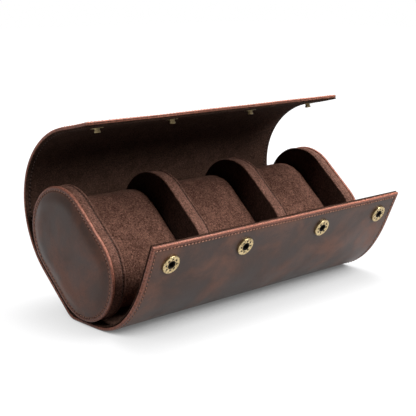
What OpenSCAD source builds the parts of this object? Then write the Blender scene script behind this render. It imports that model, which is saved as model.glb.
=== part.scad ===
// Watch travel case: a leather roll with rounded ends, three watch pillows and
// a two-flap wrap that closes with four snaps. Stored open, as it stands on a table.
// +X runs along the case, +Y is away from the front flap, +Z is up. Z = 0 is the resting face.

/* [Case] */
// Length of the wrap along the case
wrap_length = 230; // [170:1:320]
// Radius of the rounded sides of the end caps and dividers
end_radius = 31; // [24:0.5:42]
// Straight part of the end caps and dividers between the rounded sides
straight = 31; // [20:0.5:50]
// Lean of the cross-section's long side from upright, in degrees
lean = 49; // [47:0.5:51]

/* [Wrap] */
// Thickness of the outer leather
leather = 2; // [1.2:0.1:2.6]
// Thickness of the suede lining
lining = 1.2; // [0.8:0.1:1.6]
// Distance from the ends of the leather to the ends of the lining
lining_inset = 0.5; // [0.2:0.1:2]
// Inner radius of the crease between the spine and the resting face
heel_inner = 0.4; // [0.2:0.1:2]
// Length of the resting face from the crease to the front flap's first bend
rest_length = 27; // [22:0.5:30]
// Gap between the end caps' rim and the lining above the resting face
rim_gap = 0.3; // [0.2:0.1:1.5]
// Running gap at the bend lines
bend_gap = 0.2; // [0.15:0.05:0.4]

/* [Top flap] */
// Length of the fixed strip above the spine
root_length = 8; // [6:0.5:14]
// Angle that the fixed strip turns through
root_turn = 10; // [4:0.5:12]
// Length of the back panel
back_length = 34; // [28:0.5:40]
// Angle that the back panel turns through
back_turn = 31.5; // [26:0.5:36]
// Length of the crown panel
crown_length = 30.5; // [26:0.5:36]
// Angle that the crown panel turns through
crown_turn = 36; // [30:0.5:40]
// Length of the cover panel's curved part
cover_length = 48.5; // [42:0.5:54]
// Angle that the cover panel turns through
cover_turn = 51; // [46:0.5:56]
// Length of the cover panel's flat edge part
cover_edge = 31; // [28:0.5:40]
// Closing angle of the bend between root and back panel
back_close = 19.2; // [14:0.1:24]
// Closing angle of the bend between back and crown panel
crown_close = 16.3; // [12:0.1:20]
// Closing angle of the bend between crown and cover panel
cover_close = 16; // [12:0.1:20]

/* [Front flap] */
// Length of the sill panel's round part
sill_length = 26; // [22:0.5:30]
// Angle that the sill panel's round part turns through
sill_turn = 39; // [34:0.5:44]
// Length of the sill panel's upper part
sill_upper = 14; // [12:0.5:18]
// Angle that the sill panel's upper part turns through
sill_upper_turn = 13.5; // [10:0.5:18]
// Length of the front panel
front_length = 22.5; // [18:0.5:28]
// Angle that the front panel turns through
front_turn = 15; // [10:0.5:20]
// Length of the flat snap panel
snap_panel = 27; // [24:0.5:36]
// Closing angle of the bend between resting face and sill panel
sill_close = 23.2; // [18:0.1:28]
// Closing angle of the bend between sill and front panel
front_close = 22; // [18:0.1:28]
// Closing angle of the bend between front and snap panel
snap_close = 26.3; // [20:0.1:30]

/* [End caps] */
// Thickness of an end cap from the compartment to the leather's rim
cap_thickness = 10.7; // [9:0.1:16]
// Distance that the caps stand out past the wrap
cap_proud = 2.6; // [1:0.1:5]
// Width of the flat stitched rim round the cap's padded face
cap_rim = 3.6; // [2.6:0.1:6]
// Height of the cap's padded face over its rim
cap_crown = 1.4; // [0.4:0.1:2]
// Thickness of the suede that covers caps and dividers
suede = 1; // [0.6:0.1:1.5]
// Thickness of the folded suede facing on one side of caps and dividers
facing = 1.5; // [1:0.1:2.5]
// Thickness of the board under the spine side of the compartments
base_board = 3.6; // [3.2:0.1:4.5]
// Width of that board
base_width = 31; // [26:0.5:38]

/* [Dividers] */
// Thickness of a divider over its suede
divider_thickness = 10.5; // [8:0.1:14]
// Distance that the suede bands of caps and dividers stand back from the facing's edge
band_step = 0.4; // [0.2:0.1:0.8]

/* [Pillows] */
// Radius of a pillow's rounded sides
pillow_radius = 26; // [20:0.5:27]
// Straight part of a pillow between its rounded sides
pillow_straight = 30.7; // [22:0.1:36]
// Distance from the case's centre line to the pillow's face
pillow_face = 14.8; // [8:0.1:20]
// Distance that a pillow sits above the middle of the spine
pillow_rise = 3.2; // [0:0.1:5]
// Gap between a pillow and what is round it
pillow_gap = 0.3; // [0.2:0.05:0.8]
// Thickness of a pillow's suede cover
pillow_cover = 1.5; // [0.8:0.1:2.5]
// Rounding of a pillow's end edges
pillow_edge = 4; // [2.6:0.1:8]

/* [Snaps] */
// Distance from the middle of the case to the inner snaps
snap_inner_x = 36.5; // [25:0.5:50]
// Distance from the middle of the case to the outer snaps
snap_outer_x = 98; // [80:0.5:104]
// Distance from the front flap's edge to the sockets
snap_setback = 15.5; // [10:0.5:18]
// Diameter of sockets and caps
snap_diameter = 12.5; // [10:0.1:13.5]
// Height of a socket over the leather
socket_height = 1.5; // [1.4:0.1:1.8]
// Diameter of the hole in a socket's face
socket_hole = 4.6; // [4.2:0.1:5]
// Diameter of a stud's head
stud_head = 4.1; // [3.6:0.05:4.1]
// Height of a stud over the lining
stud_height = 2.8; // [2.4:0.1:3.2]
// Wire diameter of the ring spring in a socket
spring_wire = 0.6; // [0.4:0.05:0.7]
// Height of the round caps on the cover panel
snap_cap_height = 1; // [0.8:0.1:2.5]

/* [Hidden] */
$fn = 96;

leather_color = "#3b2a24";
suede_color = "#5d3d30";
board_color = "#8a7458";
foam_color = "#d8d2c4";
brass_color = "#a8914e";

wrap = leather + lining;
mid = wrap / 2;
// The wrap's curves and the rounded ends of its panels are drawn in short facets
facet_angle = 3;
knuckle_facets = 8;
// Pockets and posts reach this far past the faces that they start from
lap = 0.01;
half_straight = straight / 2;
// Distances from the centre line to the wrap's middle layer and its outer face at the spine
spine_mid = end_radius + base_board + mid;
spine_outer = end_radius + base_board + wrap;
// Angle between the spine and the resting face
rest_turn = 90 - lean;
// Distance from the lower rounded side's centre to the resting face
rest_depth = end_radius + rim_gap + wrap;
centre_height = half_straight * cos(lean) + rest_depth;
heel_corner = half_straight + (rest_depth - spine_outer * cos(rest_turn)) / sin(rest_turn);
heel_start = heel_corner - (heel_inner + wrap) * tan(rest_turn / 2);
heel_length = (heel_inner + mid) * rest_turn * PI / 180;

cap_outer = wrap_length / 2 + cap_proud;
cap_inner = cap_outer - cap_thickness;
compartment = (2 * cap_inner - 2 * divider_thickness) / 3;
divider_x = (compartment + divider_thickness) / 2;
pillow_length = compartment - 2 * pillow_gap;
pillow_x = compartment + divider_thickness;

// Clearance of posts and flanges in the holes of leather and suede
rivet_gap = 0.05;
// A socket is a thin cup: floor, cavity for the ring spring, and the plate round its hole.
// The plate's face lies lower than its rolled rim and the bead round the hole.
socket_plate = 0.5;
socket_floor = 0.3;
socket_edge = 0.6;
socket_recess = 0.2;
hole_bead = 0.6;
spring_gap = 0.15;
spring_opening = 40;
spring_radius = (stud_head + spring_wire) / 2 + spring_gap;
socket_cavity = spring_radius + spring_wire / 2 + 2 * spring_gap;
dimple_count = 8;
dimple_diameter = 1;
dimple_depth = 0.15;
dimple_ring = ((snap_diameter + socket_hole) / 2 + hole_bead - 2 * socket_edge) / 2;
// The tube of a socket's post is a little narrower inside than the socket's hole
tube_wall = 0.4;
tube_bore_step = 0.1;
tube_bore = socket_hole / 2 - tube_bore_step;
tube_radius = tube_bore + tube_wall;
post_flange = 0.6;
post_flange_margin = 0.8;
post_flange_radius = snap_diameter / 2 - post_flange_margin;
// A stud has a flange pressed into the lining, a waisted neck and a flat head with a rounded edge
stud_flange = 0.5;
stud_sink = 0.4;
stud_flange_radius = 4.2;
stud_waist = 0.35;
stud_head_depth = 1.3;
stud_head_edge = 0.5;
// The cap's post ends inside the stud
cap_post_radius = 1.2;
cap_post_reach = 1.1;
cap_post_room = 0.1;
cap_rim_height = 0.3;
// Channel for the stitches in the rim of a cap's leather
channel_inset = 2.6;
channel_radius = 0.4;
// Rounding of folded suede edges
fold = 0.45;

// The wrap's middle layer is a chain of straight and curved strips: [length, turn, closing bend].
// Each chain starts at the middle of the spine and turns towards the opening.
top_chain = [[half_straight, 0, 0], [root_length, root_turn, 0],
    [back_length, back_turn, back_close], [crown_length, crown_turn, crown_close],
    [cover_length, cover_turn, cover_close], [cover_edge, 0, 0]];
front_chain = [[heel_start, 0, 0], [heel_length, rest_turn, 0], [rest_length, 0, 0],
    [sill_length, sill_turn, sill_close], [sill_upper, sill_upper_turn, 0],
    [front_length, front_turn, front_close], [snap_panel, 0, snap_close]];
chain_start = [0, -spine_mid, 0];

// A frame is [along the spine, towards the opening, heading in degrees]
function strip_radius(part) = part[0] / (part[1] * PI / 180);
function step(f, part) = part[1] == 0
    ? [f[0] + part[0] * cos(f[2]), f[1] + part[0] * sin(f[2]), f[2]]
    : let (r = strip_radius(part), h = f[2] + part[1])
        [f[0] + r * (sin(h) - sin(f[2])), f[1] - r * (cos(h) - cos(f[2])), h];
// Frame at the start of strip i, with the flap open (closed = 0) or closed (closed = 1)
function frame(chain, i, closed = 0) = i == 0
    ? chain_start
    : let (f = step(frame(chain, i - 1, closed), chain[i - 1]))
        [f[0], f[1], f[2] + closed * chain[i][2]];
// Point at a height over a frame's place in the middle layer
function over_middle(f, height) = [f[0] - height * sin(f[2]), f[1] + height * cos(f[2])];
function facets(part) = max(1, ceil(part[1] / facet_angle));
function frames(chain, first, last) = concat([frame(chain, first)],
    [for (i = [first:last]) for (k = [1:facets(chain[i])])
        step(frame(chain, i), chain[i] * k / facets(chain[i]))]);
// Rounded end of a panel at a bend line, between two heights over the middle layer
function knuckle(f, low, high) =
    let (from = asin(low / mid), to = asin(high / mid))
        [for (k = [0:knuckle_facets]) let (a = from + k * (to - from) / knuckle_facets)
            if (abs(a) < 90) [f[0] + mid * cos(f[2] + a), f[1] + mid * sin(f[2] + a)]];
// Outline of strips first to last of a chain between two heights over the middle layer
function outline(chain, first, last, low, high, round_end) =
    let (run = frames(chain, first, last), end = len(run) - 1)
        concat([for (f = run) over_middle(f, low)], round_end ? knuckle(run[end], low, high) : [],
            [for (k = [end:-1:0]) over_middle(run[k], high)]);

// Where a socket's axis crosses the closed case, and the same place on the cover panel's edge part
snap_panel_closed = frame(front_chain, 6, 1);
cover_edge_closed = frame(top_chain, 5, 1);
socket_along = snap_panel - snap_setback;
socket_closed = [-(snap_panel_closed[0] + socket_along * cos(snap_panel_closed[2])),
    snap_panel_closed[1] + socket_along * sin(snap_panel_closed[2])];
stud_along = (socket_closed[0] - cover_edge_closed[0]) * cos(cover_edge_closed[2])
    + (socket_closed[1] - cover_edge_closed[1]) * sin(cover_edge_closed[2]);

// Places children, drawn with x along the spine and y towards the opening, in the leaning case
module in_section() {
    translate([0, 0, centre_height]) rotate([90 - lean, 0, 0]) rotate([90, 0, 90]) children();
}

module extrude_section(length) {
    in_section() linear_extrude(height = length, center = true) children();
}

module leather_length() { extrude_section(wrap_length) children(); }
module lining_length() { extrude_section(wrap_length - 2 * lining_inset) children(); }

module stadium(radius) {
    square([straight, 2 * radius], center = true);
    for (side = [-1, 1]) translate([side * half_straight, 0]) circle(radius);
}

// Section of strips first to last of a chain, with the hollow for the panel before
module panel(chain, first, last, low, high, round_end) {
    start = frame(chain, first);
    difference() {
        polygon(outline(chain, first, last, low, high, round_end));
        translate([start[0], start[1]]) circle(mid + bend_gap);
    }
}

module leather_panel(chain, first, last, round_end = true) {
    panel(chain, first, last, -mid, mid - lining, round_end);
}

module lining_panel(chain, first, last, round_end = true) {
    panel(chain, first, last, mid - lining, mid, round_end);
}

module front_side() { mirror([1, 0, 0]) children(); }

// Places children, drawn with z along a snap's axis away from the wrap's middle layer
module at_sockets() {
    f = frame(front_chain, 6);
    for (side = [-1, 1]) for (x = [snap_inner_x, snap_outer_x])
        in_section() front_side()
            translate([f[0] + socket_along * cos(f[2]), f[1] + socket_along * sin(f[2]), side * x])
                rotate([0, 0, f[2] - 90]) rotate([0, 90, 0]) children();
}

module at_studs() {
    f = frame(top_chain, 5);
    for (side = [-1, 1]) for (x = [snap_inner_x, snap_outer_x])
        in_section()
            translate([f[0] + stud_along * cos(f[2]), f[1] + stud_along * sin(f[2]), side * x])
                rotate([0, 0, f[2] + 90]) rotate([0, 90, 0]) children();
}

/* Wrap */
module spine_section(low, high) {
    upper = outline(top_chain, 0, 1, low, high, true);
    lower = outline(front_chain, 0, 2, low, high, true);
    polygon(concat(upper, [for (k = [len(lower) - 2:-1:1]) [-lower[k][0], lower[k][1]]]));
}

module spine_leather() {
    color(leather_color) leather_length() spine_section(-mid, mid - lining);
}

module spine_lining() {
    color(suede_color) lining_length() spine_section(mid - lining, mid);
}

module base_board() {
    color(suede_color) lining_length()
        translate([-base_width / 2, -end_radius - base_board]) square([base_width, base_board]);
}

module back_leather() { color(leather_color) leather_length() leather_panel(top_chain, 2, 2); }
module back_lining() { color(suede_color) lining_length() lining_panel(top_chain, 2, 2); }
module crown_leather() { color(leather_color) leather_length() leather_panel(top_chain, 3, 3); }
module crown_lining() { color(suede_color) lining_length() lining_panel(top_chain, 3, 3); }

module cap_post_holes() { at_studs() cylinder(r = cap_post_radius + rivet_gap, h = 4 * wrap, center = true); }
module tube_holes() { at_sockets() cylinder(r = tube_radius + rivet_gap, h = 4 * wrap, center = true); }

module cover_leather() {
    color(leather_color) difference() {
        leather_length() leather_panel(top_chain, 4, 5, false);
        cap_post_holes();
    }
}

module cover_lining() {
    color(suede_color) difference() {
        lining_length() lining_panel(top_chain, 4, 5, false);
        cap_post_holes();
        at_studs() translate([0, 0, mid - stud_sink])
            cylinder(r = stud_flange_radius + rivet_gap, h = stud_sink + lap);
    }
}

module sill_leather() {
    color(leather_color) leather_length() front_side() leather_panel(front_chain, 3, 4);
}

module sill_lining() { color(suede_color) lining_length() front_side() lining_panel(front_chain, 3, 4); }

module front_leather() {
    color(leather_color) leather_length() front_side() leather_panel(front_chain, 5, 5);
}

module front_lining() { color(suede_color) lining_length() front_side() lining_panel(front_chain, 5, 5); }

module snap_panel_leather() {
    color(leather_color) difference() {
        leather_length() front_side() leather_panel(front_chain, 6, 6, false);
        tube_holes();
    }
}

module snap_panel_lining() {
    color(suede_color) difference() {
        lining_length() front_side() lining_panel(front_chain, 6, 6, false);
        tube_holes();
        at_sockets() translate([0, 0, -mid - lap])
            cylinder(r = post_flange_radius + rivet_gap, h = post_flange + lap);
    }
}

/* End caps */
// Places children, drawn with z from the middle of the case outwards, at an end
module at_end(side) {
    in_section() mirror([0, 0, side < 0 ? 1 : 0]) children();
}

// A plate whose radial profile runs round both rounded sides and along the straight sides
module stadium_plate(flat = straight) {
    for (turn = [0, 180]) rotate([0, 0, turn]) {
        translate([flat / 2, 0, 0]) rotate([0, 0, -90]) rotate_extrude(angle = 180) children();
        rotate([90, 0, 90]) linear_extrude(height = flat, center = true) children();
    }
}

// A disc's half profile with a rounded upper edge
module disc_profile(radius, height, edge) {
    square([radius - edge, height]);
    square([radius, height - edge]);
    translate([radius - edge, height - edge]) circle(edge, $fn = 32);
}

// A disc's half profile with both edges rounded
module fold_profile(radius, height) {
    square([radius - fold, height]);
    translate([0, fold]) square([radius, height - 2 * fold]);
    for (level = [fold, height - fold]) translate([radius - fold, level]) circle(fold, $fn = 32);
}

// Half profile of a suede band that rounds off towards the facing's edge
module band_profile(height) {
    intersection() {
        disc_profile(end_radius - band_step, height, fold);
        translate([end_radius - suede, 0]) square([suede, height]);
    }
}

// Half profile of the cap's leather: flat stitched rim with a rounded edge, then the padded crown
module cap_profile() {
    crown_width = end_radius - cap_rim;
    crown_radius = (crown_width * crown_width + cap_crown * cap_crown) / (2 * cap_crown);
    difference() {
        disc_profile(end_radius, leather, leather / 3);
        translate([end_radius - channel_inset, leather]) circle(channel_radius, $fn = 32);
    }
    intersection() {
        translate([0, leather]) square([crown_width, cap_crown]);
        translate([0, leather + cap_crown - crown_radius]) circle(crown_radius, $fn = 720);
    }
}

module cap_leather(side) {
    color(leather_color) at_end(side) translate([0, 0, cap_outer - leather]) stadium_plate() cap_profile();
}

module cap_board(side) {
    color(board_color) at_end(side) translate([0, 0, cap_inner + facing])
        linear_extrude(cap_thickness - leather - facing) stadium(end_radius - suede);
}

module cap_gusset(side) {
    color(suede_color) at_end(side) translate([0, 0, cap_outer - leather]) mirror([0, 0, 1])
        stadium_plate() band_profile(cap_thickness - leather - facing);
}

module cap_facing(side) {
    color(suede_color) at_end(side) translate([0, 0, cap_inner])
        stadium_plate() fold_profile(end_radius, facing);
}

/* Dividers */
// Places children, drawn with z from a divider's left face towards its right face
module at_divider(side) {
    in_section() translate([0, 0, side * divider_x - divider_thickness / 2]) children();
}

module divider_board(side) {
    color(board_color) at_divider(side) translate([0, 0, suede])
        linear_extrude(divider_thickness - suede - facing) stadium(end_radius - suede);
}

module divider_band(side) {
    color(suede_color) at_divider(side) translate([0, 0, suede])
        stadium_plate() band_profile(divider_thickness - suede - facing);
}

// The left face is folded over into the band
module divider_left_face(side) {
    color(suede_color) at_divider(side) translate([0, 0, suede]) mirror([0, 0, 1])
        stadium_plate() disc_profile(end_radius - band_step, suede, fold);
}

// The right face is a facing whose folded edge is stitched to the band
module divider_right_face(side) {
    color(suede_color) at_divider(side) translate([0, 0, divider_thickness - facing])
        stadium_plate() fold_profile(end_radius, facing);
}

/* Pillows */
// Half profile of a bar with rounded end edges, from its middle outwards
module bar_profile(radius, length, edge) {
    square([radius - edge, length / 2]);
    square([radius, length / 2 - edge]);
    translate([radius - edge, length / 2 - edge]) circle(edge, $fn = 64);
}

// Rounded cushion whose back follows the compartment's outline, inset from a pillow's surface
module pillow_shape(inset) {
    edge = pillow_edge - inset;
    length = pillow_length - 2 * inset;
    for (end = [0, 1]) mirror([0, 0, end]) intersection() {
        translate([pillow_rise, pillow_face - pillow_radius, 0])
            stadium_plate(pillow_straight) bar_profile(pillow_radius - inset, length, edge);
        stadium_plate() bar_profile(end_radius - pillow_gap - inset, length, edge);
    }
}

module pillow_cover_at(slot) {
    color(suede_color) in_section() translate([0, 0, slot * pillow_x]) difference() {
        pillow_shape(0);
        pillow_shape(pillow_cover);
    }
}

module pillow_core_at(slot) {
    color(foam_color) in_section() translate([0, 0, slot * pillow_x]) pillow_shape(pillow_cover);
}

/* Snaps */
// Half profile of a socket's outside, with its rolled rim, its face and the bead round its hole
module socket_profile() {
    face = socket_height - socket_recess;
    rim = snap_diameter / 2 - socket_edge;
    bead = (socket_hole + hole_bead) / 2;
    square([rim, face]);
    square([snap_diameter / 2, socket_height - socket_edge]);
    translate([rim, socket_height - socket_edge]) circle(socket_edge, $fn = 32);
    translate([bead, socket_height - hole_bead / 2]) circle(hole_bead / 2, $fn = 32);
}

module snap_sockets() {
    color(brass_color) at_sockets() translate([0, 0, mid]) difference() {
        rotate_extrude() difference() {
            socket_profile();
            translate([0, socket_floor])
                square([socket_cavity, socket_height - socket_plate - socket_floor]);
            translate([0, -1]) square([tube_radius + rivet_gap, 1 + 2 * socket_floor]);
            square([socket_hole / 2, 2 * socket_height]);
        }
        for (i = [0:dimple_count - 1]) rotate(i * 360 / dimple_count)
            translate([dimple_ring, 0, socket_height - socket_recess - dimple_depth])
                cylinder(d = dimple_diameter, h = dimple_diameter, $fn = 24);
    }
}

// Split ring that grips the stud's neck
module snap_ring_springs() {
    level = (socket_floor + socket_height - socket_plate) / 2;
    color(brass_color) at_sockets() translate([0, 0, mid + level])
        rotate([0, 0, spring_opening / 2]) rotate_extrude(angle = 360 - spring_opening)
            translate([spring_radius, 0]) circle(d = spring_wire, $fn = 24);
}

// Rivet from the lining side whose tube passes through the snap panel into the socket
module snap_socket_posts() {
    color(brass_color) at_sockets() rotate_extrude() difference() {
        union() {
            translate([0, -mid]) square([post_flange_radius, post_flange]);
            translate([0, -mid]) square([tube_radius, wrap + socket_floor]);
        }
        translate([0, -mid + post_flange / 2]) square([tube_bore, 2 * wrap]);
    }
}

// Stud in the cover panel's lining, with a waisted neck under its head
module snap_studs() {
    head = stud_head / 2;
    color(brass_color) at_studs() translate([0, 0, mid]) rotate_extrude() difference() {
        union() {
            translate([0, -stud_sink]) square([stud_flange_radius, stud_flange]);
            square([head - stud_waist, stud_height - stud_head_edge]);
            translate([0, stud_height - stud_head_depth])
                disc_profile(head, stud_head_depth, stud_head_edge);
        }
        translate([0, -stud_sink])
            square([cap_post_radius + rivet_gap, stud_sink + cap_post_reach + cap_post_room]);
    }
}

// Domed cap on the outside of the cover panel, with the post that holds the stud
module snap_caps() {
    radius = snap_diameter / 2;
    rise = snap_cap_height - cap_rim_height;
    dome = (radius * radius + rise * rise) / (2 * rise);
    color(brass_color) at_studs() mirror([0, 0, 1]) translate([0, 0, mid]) rotate_extrude() {
        square([radius, cap_rim_height]);
        intersection() {
            square([radius, snap_cap_height]);
            translate([0, snap_cap_height - dome]) circle(dome, $fn = 360);
        }
        translate([0, -wrap - cap_post_reach]) square([cap_post_radius, wrap + cap_post_reach + lap]);
    }
}

spine_leather();
spine_lining();
base_board();
back_leather();
back_lining();
crown_leather();
crown_lining();
cover_leather();
cover_lining();
sill_leather();
sill_lining();
front_leather();
front_lining();
snap_panel_leather();
snap_panel_lining();
cap_leather(-1);  // left_cap_leather
cap_board(-1);  // left_cap_board
cap_gusset(-1);  // left_cap_gusset
cap_facing(-1);  // left_cap_facing
cap_leather(1);  // right_cap_leather
cap_board(1);  // right_cap_board
cap_gusset(1);  // right_cap_gusset
cap_facing(1);  // right_cap_facing
divider_board(-1);  // left_divider_board
divider_band(-1);  // left_divider_band
divider_left_face(-1);  // left_divider_left_face
divider_right_face(-1);  // left_divider_right_face
divider_board(1);  // right_divider_board
divider_band(1);  // right_divider_band
divider_left_face(1);  // right_divider_left_face
divider_right_face(1);  // right_divider_right_face
pillow_cover_at(-1);  // left_pillow_cover
pillow_core_at(-1);  // left_pillow_core
pillow_cover_at(0);  // middle_pillow_cover
pillow_core_at(0);  // middle_pillow_core
pillow_cover_at(1);  // right_pillow_cover
pillow_core_at(1);  // right_pillow_core
snap_sockets();
snap_ring_springs();
snap_socket_posts();
snap_studs();
snap_caps();
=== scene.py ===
"""Dresses the watch travel case: leather wrap, suede dividers, pillows and brass snaps.

Sizes are in millimetres in the row frame and become metres where a mesh is made.
The wrap is described by s, the length along its section from the middle of the spine
(positive into the top flap, negative into the front flap), x along the case, and a
height over its middle layer, positive towards the suede side.
"""
import functools
import math

import bmesh
import bpy
import numpy as np
from mathutils import Matrix, Vector, noise


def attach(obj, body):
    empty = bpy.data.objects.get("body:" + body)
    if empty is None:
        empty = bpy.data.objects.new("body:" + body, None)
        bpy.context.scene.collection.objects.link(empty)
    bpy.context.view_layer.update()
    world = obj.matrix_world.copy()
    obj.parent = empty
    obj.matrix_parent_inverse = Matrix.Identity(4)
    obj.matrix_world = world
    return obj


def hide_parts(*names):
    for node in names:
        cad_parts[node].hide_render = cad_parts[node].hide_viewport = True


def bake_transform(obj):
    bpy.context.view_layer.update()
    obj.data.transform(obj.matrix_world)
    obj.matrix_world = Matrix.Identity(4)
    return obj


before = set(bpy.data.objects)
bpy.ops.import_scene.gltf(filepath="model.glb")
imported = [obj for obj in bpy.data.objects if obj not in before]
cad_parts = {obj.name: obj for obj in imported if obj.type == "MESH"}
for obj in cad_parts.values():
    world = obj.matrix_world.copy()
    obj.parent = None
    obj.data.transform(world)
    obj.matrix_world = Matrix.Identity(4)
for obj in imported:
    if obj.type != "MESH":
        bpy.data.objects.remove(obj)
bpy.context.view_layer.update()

MM = 0.001

# Case, as in the construction
LEAN = math.radians(49)
END_RADIUS = 31
HALF_STRAIGHT = 15.5
HALF_LENGTH = 115
CAP_OUTER = 117.6
CAP_INNER = 106.9
COMPARTMENT = 64.267
DIVIDER_THICKNESS = 10.5
DIVIDER_X = 37.383
PILLOW_X = 74.767

# Wrap
LEATHER = 2
LINING = 1.2
MID = (LEATHER + LINING) / 2
BASE_BOARD = 3.6
RIM_GAP = 0.3
HEEL_INNER = 0.4
REST_TURN = math.pi / 2 - LEAN
SPINE_MID = END_RADIUS + BASE_BOARD + MID
REST_DEPTH = END_RADIUS + RIM_GAP + 2 * MID
CENTRE_HEIGHT = HALF_STRAIGHT * math.cos(LEAN) + REST_DEPTH
HEEL_CORNER = HALF_STRAIGHT + (REST_DEPTH - (SPINE_MID + MID) * math.cos(REST_TURN)) / math.sin(REST_TURN)
HEEL_START = HEEL_CORNER - (HEEL_INNER + 2 * MID) * math.tan(REST_TURN / 2)
HEEL_LENGTH = (HEEL_INNER + MID) * REST_TURN

# [length, turn in degrees] of the strips from the middle of the spine outwards
TOP_STRIPS = [(HALF_STRAIGHT, 0), (8, 10), (34, 31.5), (30.5, 36), (48.5, 51), (31, 0)]
FRONT_STRIPS = [(HEEL_START, 0), (HEEL_LENGTH, math.degrees(REST_TURN)), (27, 0), (26, 39), (14, 13.5),
                (22.5, 15), (27, 0)]
PATH_STEP = 0.25
PATH_SOFTNESS = 2.5
TOP_TRIM = 2.0
FRONT_TRIM = 1.0
CORNER_STEPS = 4
COLUMN_STEP = 4
ROW_STEP = 1.6
EDGE_ZONE = 1.3
TOP_FLARE = 1.0
TOP_FLARE_LENGTH = 26
LOOSE_TOP = (30, 80)
LOOSE_FRONT = (60, 110)
WAVE = 0.45
WAVE_LENGTHS = (55, 40)
WAVE_FREE = (5, 18)

# Snaps
SOCKET_S = -125.7
STUD_S = 151.3
SNAP_X = (-98, -36.5, 36.5, 98)
SNAPS = [(x, s) for x in SNAP_X for s in (SOCKET_S, STUD_S)]
TUBE_HOLE = 3.4
SOCKET_HEIGHT = 1.5
SOCKET_RECESS = 0.2

# Stitches, and the groove that they pull
STITCH_INSET = 3.0
STITCH_PITCH = 2.7
STITCH_LENGTH = 2.0
STITCH_WIDTH = 0.85
STITCH_SLANT = math.radians(12)
GROOVE_DEPTH = 0.32
GROOVE_WIDTH = 0.65
SEAM_WIDTH = 0.75
STITCH_STEPS = [STITCH_INSET + GROOVE_WIDTH * k for k in (-2, -1, -0.5, 0, 0.5, 1, 2)]


def smoothstep(low, high, value):
    """0 below low, 1 above high, smooth between; works on arrays."""
    t = np.clip((value - low) / (high - low), 0, 1)
    return t * t * (3 - 2 * t)


def section_to_row(along, across):
    """Section coordinates (along the spine, towards the opening) as the row frame's Y and Z."""
    y = along * math.sin(LEAN) - across * math.cos(LEAN)
    z = CENTRE_HEIGHT + along * math.cos(LEAN) + across * math.sin(LEAN)
    return y, z


# Path of the wrap's middle layer

def walk(strips):
    """Points every PATH_STEP or less along a chain of strips, with the length at each."""
    points, lengths, heading = [np.array([0.0, -SPINE_MID])], [0.0], 0.0
    for length, turn in strips:
        count = max(2, math.ceil(length / PATH_STEP))
        bend = math.radians(turn) / count
        for _ in range(count):
            middle = heading + bend / 2
            points.append(points[-1] + length / count * np.array([math.cos(middle), math.sin(middle)]))
            lengths.append(lengths[-1] + length / count)
            heading += bend
    return np.array(points), np.array(lengths)


def wrap_path():
    """Smoothed path at even steps of s, as arrays of s, along and across."""
    top, top_s = walk(TOP_STRIPS)
    front, front_s = walk(FRONT_STRIPS)
    points = np.vstack([front[:0:-1] * [-1, 1], top])
    s = np.concatenate([-front_s[:0:-1], top_s])
    even = np.arange(s[0], s[-1], PATH_STEP)
    path = np.column_stack([np.interp(even, s, points[:, k]) for k in (0, 1)])
    reach = int(4 * PATH_SOFTNESS / PATH_STEP)
    kernel = np.exp(-0.5 * (np.arange(-reach, reach + 1) * PATH_STEP / PATH_SOFTNESS) ** 2)
    kernel /= kernel.sum()
    before = path[0] + np.arange(-reach, 0)[:, None] * (path[1] - path[0])
    after = path[-1] + np.arange(1, reach + 1)[:, None] * (path[-1] - path[-2])
    padded = np.vstack([before, path, after])
    smooth = np.column_stack([np.convolve(padded[:, k], kernel, "valid") for k in (0, 1)])
    return even, smooth


PATH_S, PATH = wrap_path()
PATH_TANGENT = np.gradient(PATH, PATH_S, axis=0)
PATH_TANGENT /= np.linalg.norm(PATH_TANGENT, axis=1)[:, None]
TOP_END = sum(length for length, turn in TOP_STRIPS) - TOP_TRIM
FRONT_END = -sum(length for length, turn in FRONT_STRIPS) + FRONT_TRIM


def strip_start(strips, index):
    return sum(length for length, _ in strips[:index])


def ease(low, high, value):
    """smoothstep for one number."""
    t = min(1.0, max(0.0, (value - low) / (high - low)))
    return t * t * (3 - 2 * t)


@functools.lru_cache(maxsize=None)
def looseness(s):
    """0 where the wrap is glued or rests, 1 on the flaps."""
    return max(ease(*LOOSE_TOP, s), ease(*LOOSE_FRONT, -s))


@functools.lru_cache(maxsize=None)
def flare(s):
    """How far the top flap's edge curls outwards."""
    return TOP_FLARE * max(0.0, 1 - (TOP_END - s) / TOP_FLARE_LENGTH) ** 2


def wave(s, x):
    """Slight unevenness of the flaps, none at the snaps, and the curl of the top flap's edge."""
    loose = looseness(s)
    if loose == 0:
        return 0.0
    from_snap = min(math.dist((x, s), snap) for snap in SNAPS)
    swell = noise.noise(Vector((x / WAVE_LENGTHS[0], s / WAVE_LENGTHS[1], 3.7)))
    return WAVE * loose * ease(*WAVE_FREE, from_snap) * swell - flare(s)


@functools.lru_cache(maxsize=None)
def path_at(s):
    """Place and direction of the wrap's middle layer, as along, across and the tangent's two parts."""
    place = [float(np.interp(s, PATH_S, PATH[:, k])) for k in (0, 1)]
    return place + [float(np.interp(s, PATH_S, PATH_TANGENT[:, k])) for k in (0, 1)]


def wrap_point(s, x, height):
    """Row-frame point in millimetres at a height over the wrap's middle layer."""
    along, across, tangent_along, tangent_across = path_at(s)
    height = height + wave(s, x)
    y, z = section_to_row(along - height * tangent_across, across + height * tangent_along)
    return Vector((x, y, z))


def wrap_normal(s):
    """Unit vector towards the suede side."""
    tangent_along, tangent_across = path_at(s)[2:]
    y, z = section_to_row(-tangent_across, tangent_along)
    return Vector((0, y, z - CENTRE_HEIGHT)).normalized()


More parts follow.
